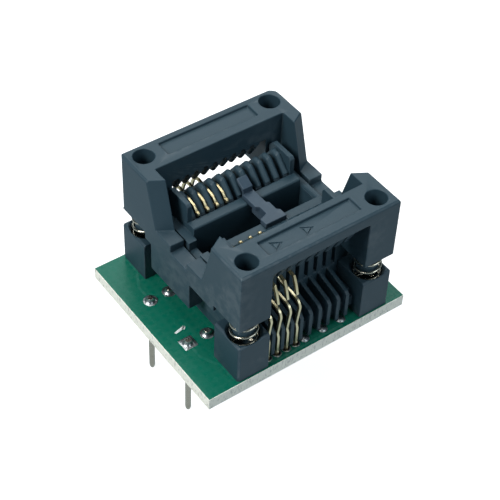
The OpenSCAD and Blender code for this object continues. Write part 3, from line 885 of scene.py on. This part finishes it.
class ADAPTER_OT_stage(bpy.types.Operator):
    """Pale floor, soft studio light and the camera"""

    bl_idname = "adapter.stage"
    bl_label = "Stage"

    def execute(self, context):
        stage = context.scene.adapter_stage
        context.scene.view_settings.view_transform = "Standard"
        self.camera(context, stage)
        self.floor(stage)
        self.world(context)
        target = Vector((SOCKET_X, 0, 6 * MM))
        for name, place, size, power, colour in (
                ("Key", (-0.34, 0.02, 0.3), 0.22, 1.7, (0.95, 0.99, 1.0)),
                ("Fill", (0.1, -0.4, 0.26), 0.3, 0.7, (0.8, 0.92, 1.0)),
                ("Top", (0.06, 0.12, 0.5), 0.4, 1.2, (0.95, 1.0, 1.0)),
                ("Back", (0.22, 0.3, 0.36), 0.34, 0.55, (0.85, 0.95, 1.0))):
            lamp = bpy.data.lights.new(name, "AREA")
            lamp.shape = "DISK"
            lamp.size = size
            lamp.energy = power
            lamp.color = colour
            obj = bpy.data.objects.new(name, lamp)
            context.scene.collection.objects.link(obj)
            obj.location = target + Vector(place)
            obj.rotation_euler = (target - obj.location).to_track_quat("-Z", "Y").to_euler()
        return {"FINISHED"}

    def camera(self, context, stage):
        """The photograph's viewpoint, worked out from the pitch of the pins and the contact slots."""
        az, el = stage.azimuth, stage.elevation
        back = Vector((math.sin(az) * math.cos(el), -math.cos(az) * math.cos(el), math.sin(el)))
        right = Vector((math.cos(az), math.sin(az), 0))
        up = back.cross(right)
        place = back * stage.distance + right * stage.aim[0] + up * stage.aim[1]
        place += Vector((SOCKET_X, 0, BOARD_TOP))
        turn = math.cos(stage.roll), math.sin(stage.roll)
        across = right * turn[0] + up * turn[1]
        upright = up * turn[0] - right * turn[1]
        lens = bpy.data.cameras.new("Camera")
        lens.lens = stage.lens
        lens.sensor_width = 36
        lens.clip_start = 0.01
        lens.dof.use_dof = False
        camera = bpy.data.objects.new("Camera", lens)
        context.scene.collection.objects.link(camera)
        facing = Matrix((across, upright, back)).transposed().to_4x4()
        camera.matrix_world = Matrix.Translation(place) @ facing
        context.scene.camera = camera

    def floor(self, stage):
        """A plain floor under the pin tips: white to the camera but for the shadow, clear from below."""
        bm = bmesh.new()
        bmesh.ops.create_grid(bm, x_segments=4, y_segments=4, size=1.5)
        ground = min(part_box(n)[0][2] for n in PINS) - 0.05 * MM
        bmesh.ops.translate(bm, verts=bm.verts, vec=(SOCKET_X, 0, ground))
        mesh = bpy.data.meshes.new("floor")
        bm.to_mesh(mesh)
        bm.free()
        obj = bpy.data.objects.new("floor", mesh)
        bpy.context.scene.collection.objects.link(obj)
        material = bpy.data.materials.new("pale floor")
        material.use_nodes = True
        tree = material.node_tree
        tree.nodes.clear()
        output = tree.nodes.new("ShaderNodeOutputMaterial")
        seen = tree.nodes.new("ShaderNodeLightPath")
        matt = put(tree, "ShaderNodeBsdfDiffuse", Color=tuple(stage.bounce))
        mirrored = put(tree, "ShaderNodeEmission", Color=(0.75, 0.92, 1, 1), Strength=0.6)
        others = tree.nodes.new("ShaderNodeMixShader")
        link(tree, seen.outputs["Is Glossy Ray"], others.inputs["Fac"])
        link(tree, matt.outputs[0], others.inputs[1])
        link(tree, mirrored.outputs[0], others.inputs[2])
        glow = put(tree, "ShaderNodeEmission", Color=(1, 1, 1, 1), Strength=0.91)
        soft = put(tree, "ShaderNodeBsdfDiffuse", Color=tuple(stage.floor))
        bright = tree.nodes.new("ShaderNodeAddShader")
        link(tree, glow.outputs[0], bright.inputs[0])
        link(tree, soft.outputs[0], bright.inputs[1])
        mix = tree.nodes.new("ShaderNodeMixShader")
        link(tree, seen.outputs["Is Camera Ray"], mix.inputs["Fac"])
        link(tree, others.outputs[0], mix.inputs[1])
        link(tree, bright.outputs[0], mix.inputs[2])
        clear = tree.nodes.new("ShaderNodeBsdfTransparent")
        below = tree.nodes.new("ShaderNodeMixShader")
        link(tree, tree.nodes.new("ShaderNodeNewGeometry").outputs["Backfacing"], below.inputs["Fac"])
        link(tree, mix.outputs[0], below.inputs[1])
        link(tree, clear.outputs[0], below.inputs[2])
        link(tree, below.outputs[0], output.inputs["Surface"])
        mesh.materials.append(material)

    def world(self, context):
        """Weak, even, bluish light, with white behind the adapter for the camera."""
        world = bpy.data.worlds.new("Studio")
        context.scene.world = world
        world.use_nodes = True
        tree = world.node_tree
        tree.nodes.clear()
        output = tree.nodes.new("ShaderNodeOutputWorld")
        seen = tree.nodes.new("ShaderNodeLightPath")
        around = put(tree, "ShaderNodeBackground", Color=(0.35, 0.7, 1.0, 1), Strength=0.06)
        behind = put(tree, "ShaderNodeBackground", Color=(1, 1, 1, 1), Strength=1.0)
        mix = tree.nodes.new("ShaderNodeMixShader")
        link(tree, seen.outputs["Is Camera Ray"], mix.inputs["Fac"])
        link(tree, around.outputs[0], mix.inputs[1])
        link(tree, behind.outputs[0], mix.inputs[2])
        link(tree, mix.outputs[0], output.inputs["Surface"])


OPERATORS = (ADAPTER_OT_mouldings, ADAPTER_OT_board, ADAPTER_OT_pins, ADAPTER_OT_solder, ADAPTER_OT_contacts,
             ADAPTER_OT_springs, ADAPTER_OT_stage)


class ADAPTER_PT_sidebar(bpy.types.Panel):
    """Lists the adapter's operators and the values they read"""

    bl_idname = "ADAPTER_PT_sidebar"
    bl_label = "Test socket adapter"
    bl_space_type = "VIEW_3D"
    bl_region_type = "UI"
    bl_category = "Adapter"

    def draw(self, context):
        for operator in OPERATORS:
            self.layout.operator(operator.bl_idname)
        for settings in (context.scene.adapter_finish, context.scene.adapter_sizes, context.scene.adapter_stage):
            box = self.layout.box()
            for key in settings.__annotations__:
                box.prop(settings, key)


CLASSES = (AdapterFinish, AdapterSizes, AdapterStage) + OPERATORS + (ADAPTER_PT_sidebar,)


def register():
    for cls in CLASSES:
        bpy.utils.register_class(cls)
    bpy.types.Scene.adapter_finish = bpy.props.PointerProperty(type=AdapterFinish)
    bpy.types.Scene.adapter_sizes = bpy.props.PointerProperty(type=AdapterSizes)
    bpy.types.Scene.adapter_stage = bpy.props.PointerProperty(type=AdapterStage)


def unregister():
    del bpy.types.Scene.adapter_finish
    del bpy.types.Scene.adapter_sizes
    del bpy.types.Scene.adapter_stage
    for cls in reversed(CLASSES):
        bpy.utils.unregister_class(cls)


def main():
    register()
    bpy.ops.adapter.mouldings()
    bpy.ops.adapter.board()
    bpy.ops.adapter.pins()
    bpy.ops.adapter.solder()
    bpy.ops.adapter.contacts()
    bpy.ops.adapter.springs()
    bpy.ops.adapter.stage()


if __name__ == "__main__":
    main()
